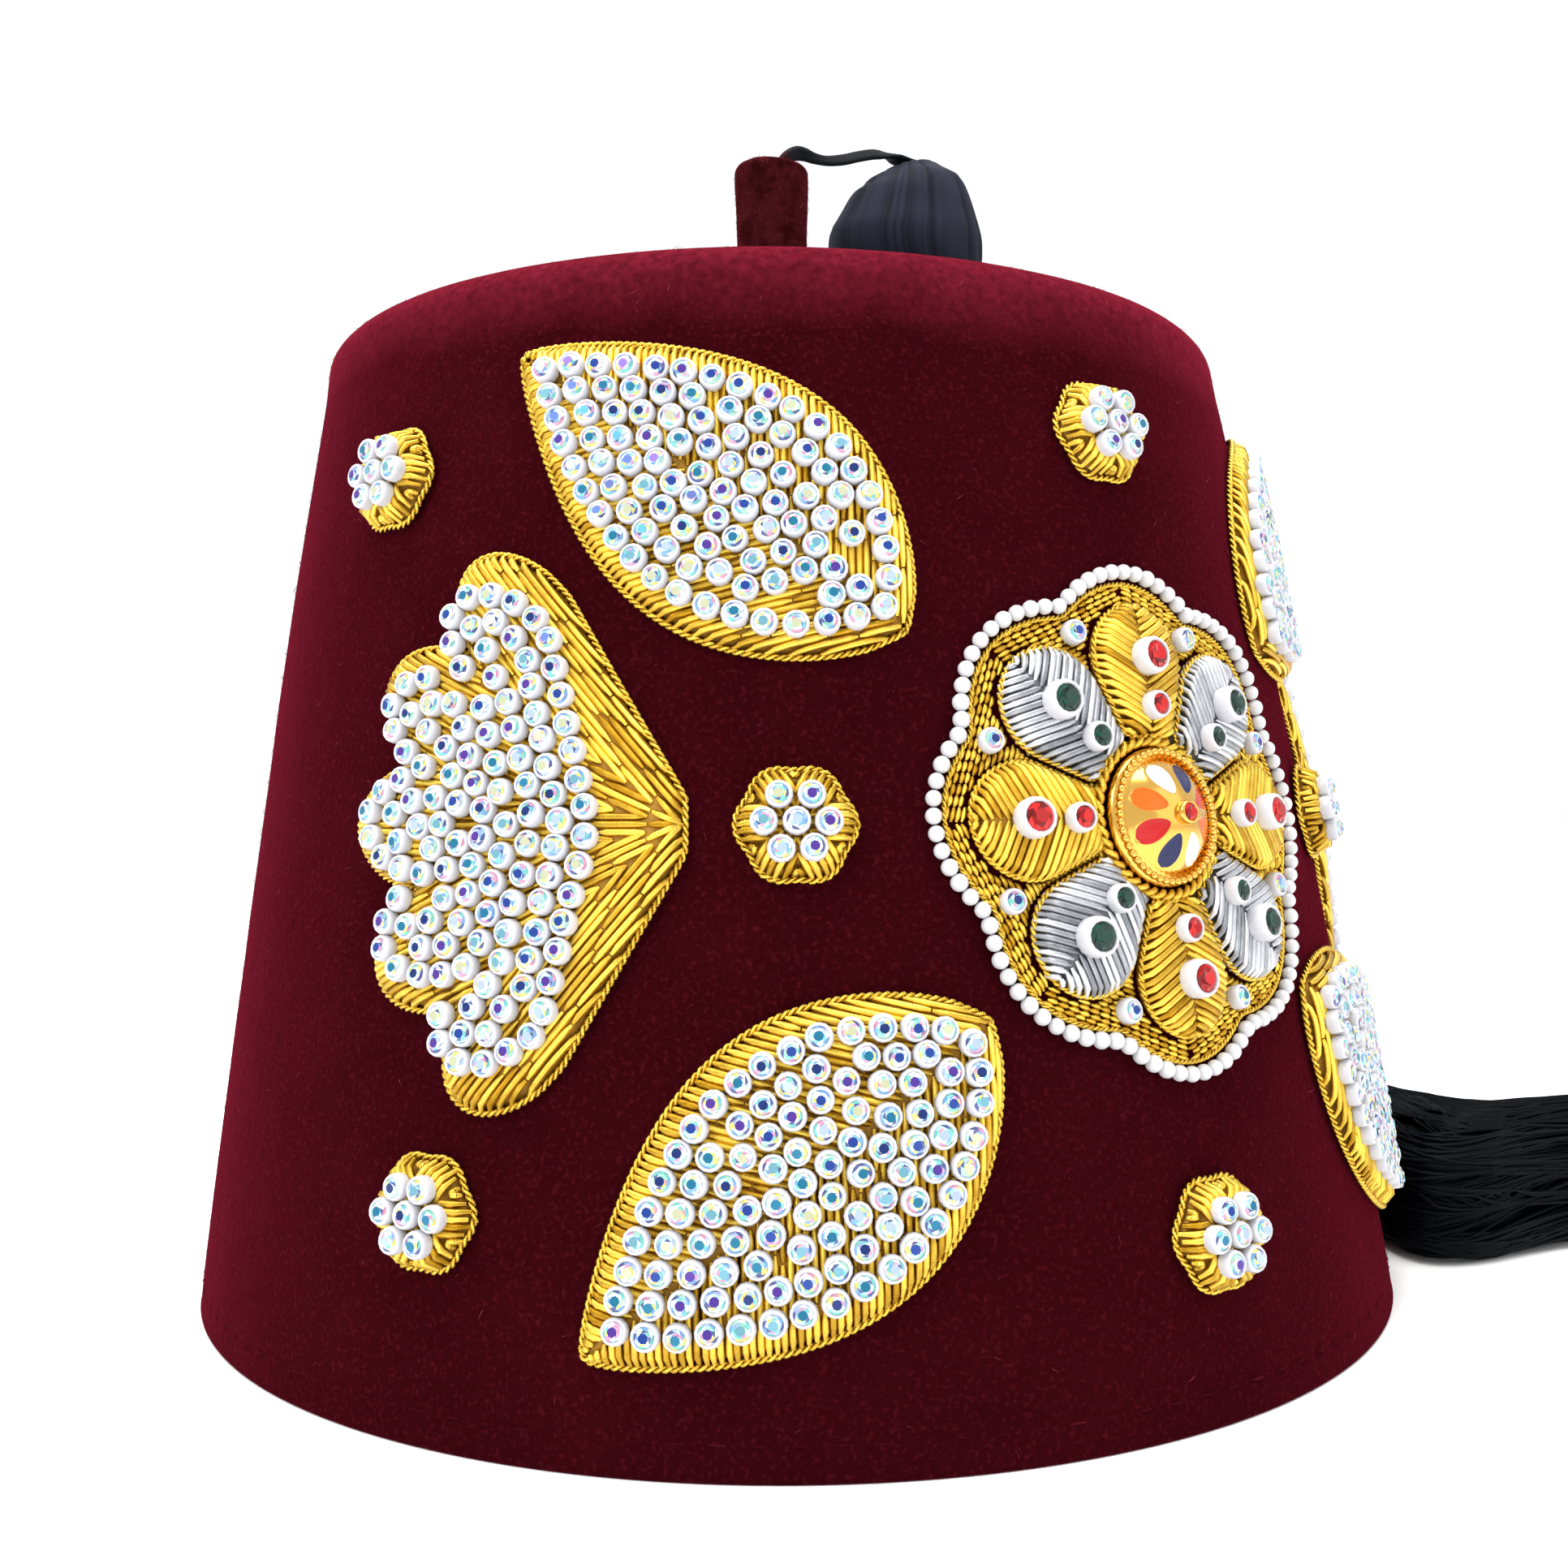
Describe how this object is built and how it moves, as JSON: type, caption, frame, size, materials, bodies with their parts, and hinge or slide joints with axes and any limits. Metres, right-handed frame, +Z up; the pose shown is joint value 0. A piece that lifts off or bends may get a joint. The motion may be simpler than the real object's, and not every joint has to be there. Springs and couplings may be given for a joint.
{
  "type": "fez hat",
  "caption": "Tapered red felt hat, open below, with padded gold and crystal flowers, a felt stem and a long black silk tassel laid over its top and out along the floor.",
  "frame": {"origin": "bottom middle of the whole piece's box, tassel included, on the surface that it rests on; the hat's own axis stands 20.7 mm from it towards -X", "axes": "+Z up the hat, the hat's front faces -Y, the tassel's strands end towards +X and -Y"},
  "size_m": [0.2293, 0.1894, 0.1918],
  "materials": {
    "red_felt": "velvety wool felt",
    "stem_felt": "darker wool felt",
    "black_silk": "glossy silk strands",
    "gold_purl": "laid gold wire",
    "silver_purl": "laid silver wire",
    "polished_gold": "polished, with enamel",
    "crystal_cups": "white cups with iridescent cut stones",
    "ruby_stone": "red cut stone in a white cup",
    "emerald_stone": "green cut stone in a white cup",
    "pearl": "pearly white beads"
  },
  "bodies": {
    "root": {"felt_crown": "red_felt", "stem": "stem_felt", "tassel_cord": "black_silk", "tassel": "black_silk", "leaf_pad_upper_right": "gold_purl", "leaf_field_upper_right": "crystal_cups", "leaf_pad_lower_right": "gold_purl", "leaf_field_lower_right": "crystal_cups", "fan_pad_right": "gold_purl", "fan_field_right": "crystal_cups", "leaf_pad_upper_left": "gold_purl", "leaf_field_upper_left": "crystal_cups", "leaf_pad_lower_left": "gold_purl", "leaf_field_lower_left": "crystal_cups", "fan_pad_left": "gold_purl", "fan_field_left": "crystal_cups", "petal_1": "gold_purl", "petal_stone_1_large": "ruby_stone", "petal_stone_1_small": "ruby_stone", "petal_2": "silver_purl", "petal_stone_2_large": "emerald_stone", "petal_stone_2_small": "emerald_stone", "petal_3": "gold_purl", "petal_stone_3_large": "ruby_stone", "petal_stone_3_small": "ruby_stone", "petal_4": "silver_purl", "petal_stone_4_large": "emerald_stone", "petal_stone_4_small": "emerald_stone", "petal_5": "gold_purl", "petal_stone_5_large": "ruby_stone", "petal_stone_5_small": "ruby_stone", "petal_6": "silver_purl", "petal_stone_6_large": "emerald_stone", "petal_stone_6_small": "emerald_stone", "petal_7": "gold_purl", "petal_stone_7_large": "ruby_stone", "petal_stone_7_small": "ruby_stone", "petal_8": "silver_purl", "petal_stone_8_large": "emerald_stone", "petal_stone_8_small": "emerald_stone", "flower_boss": "polished_gold", "pearl_edging": "pearl", "floret_top": "gold_purl", "floret_bottom": "gold_purl", "floret_inner_right": "gold_purl", "floret_inner_left": "gold_purl", "floret_upper_right": "gold_purl", "floret_upper_left": "gold_purl", "floret_lower_right": "gold_purl", "floret_lower_left": "gold_purl"}
  },
  "joints": []
}
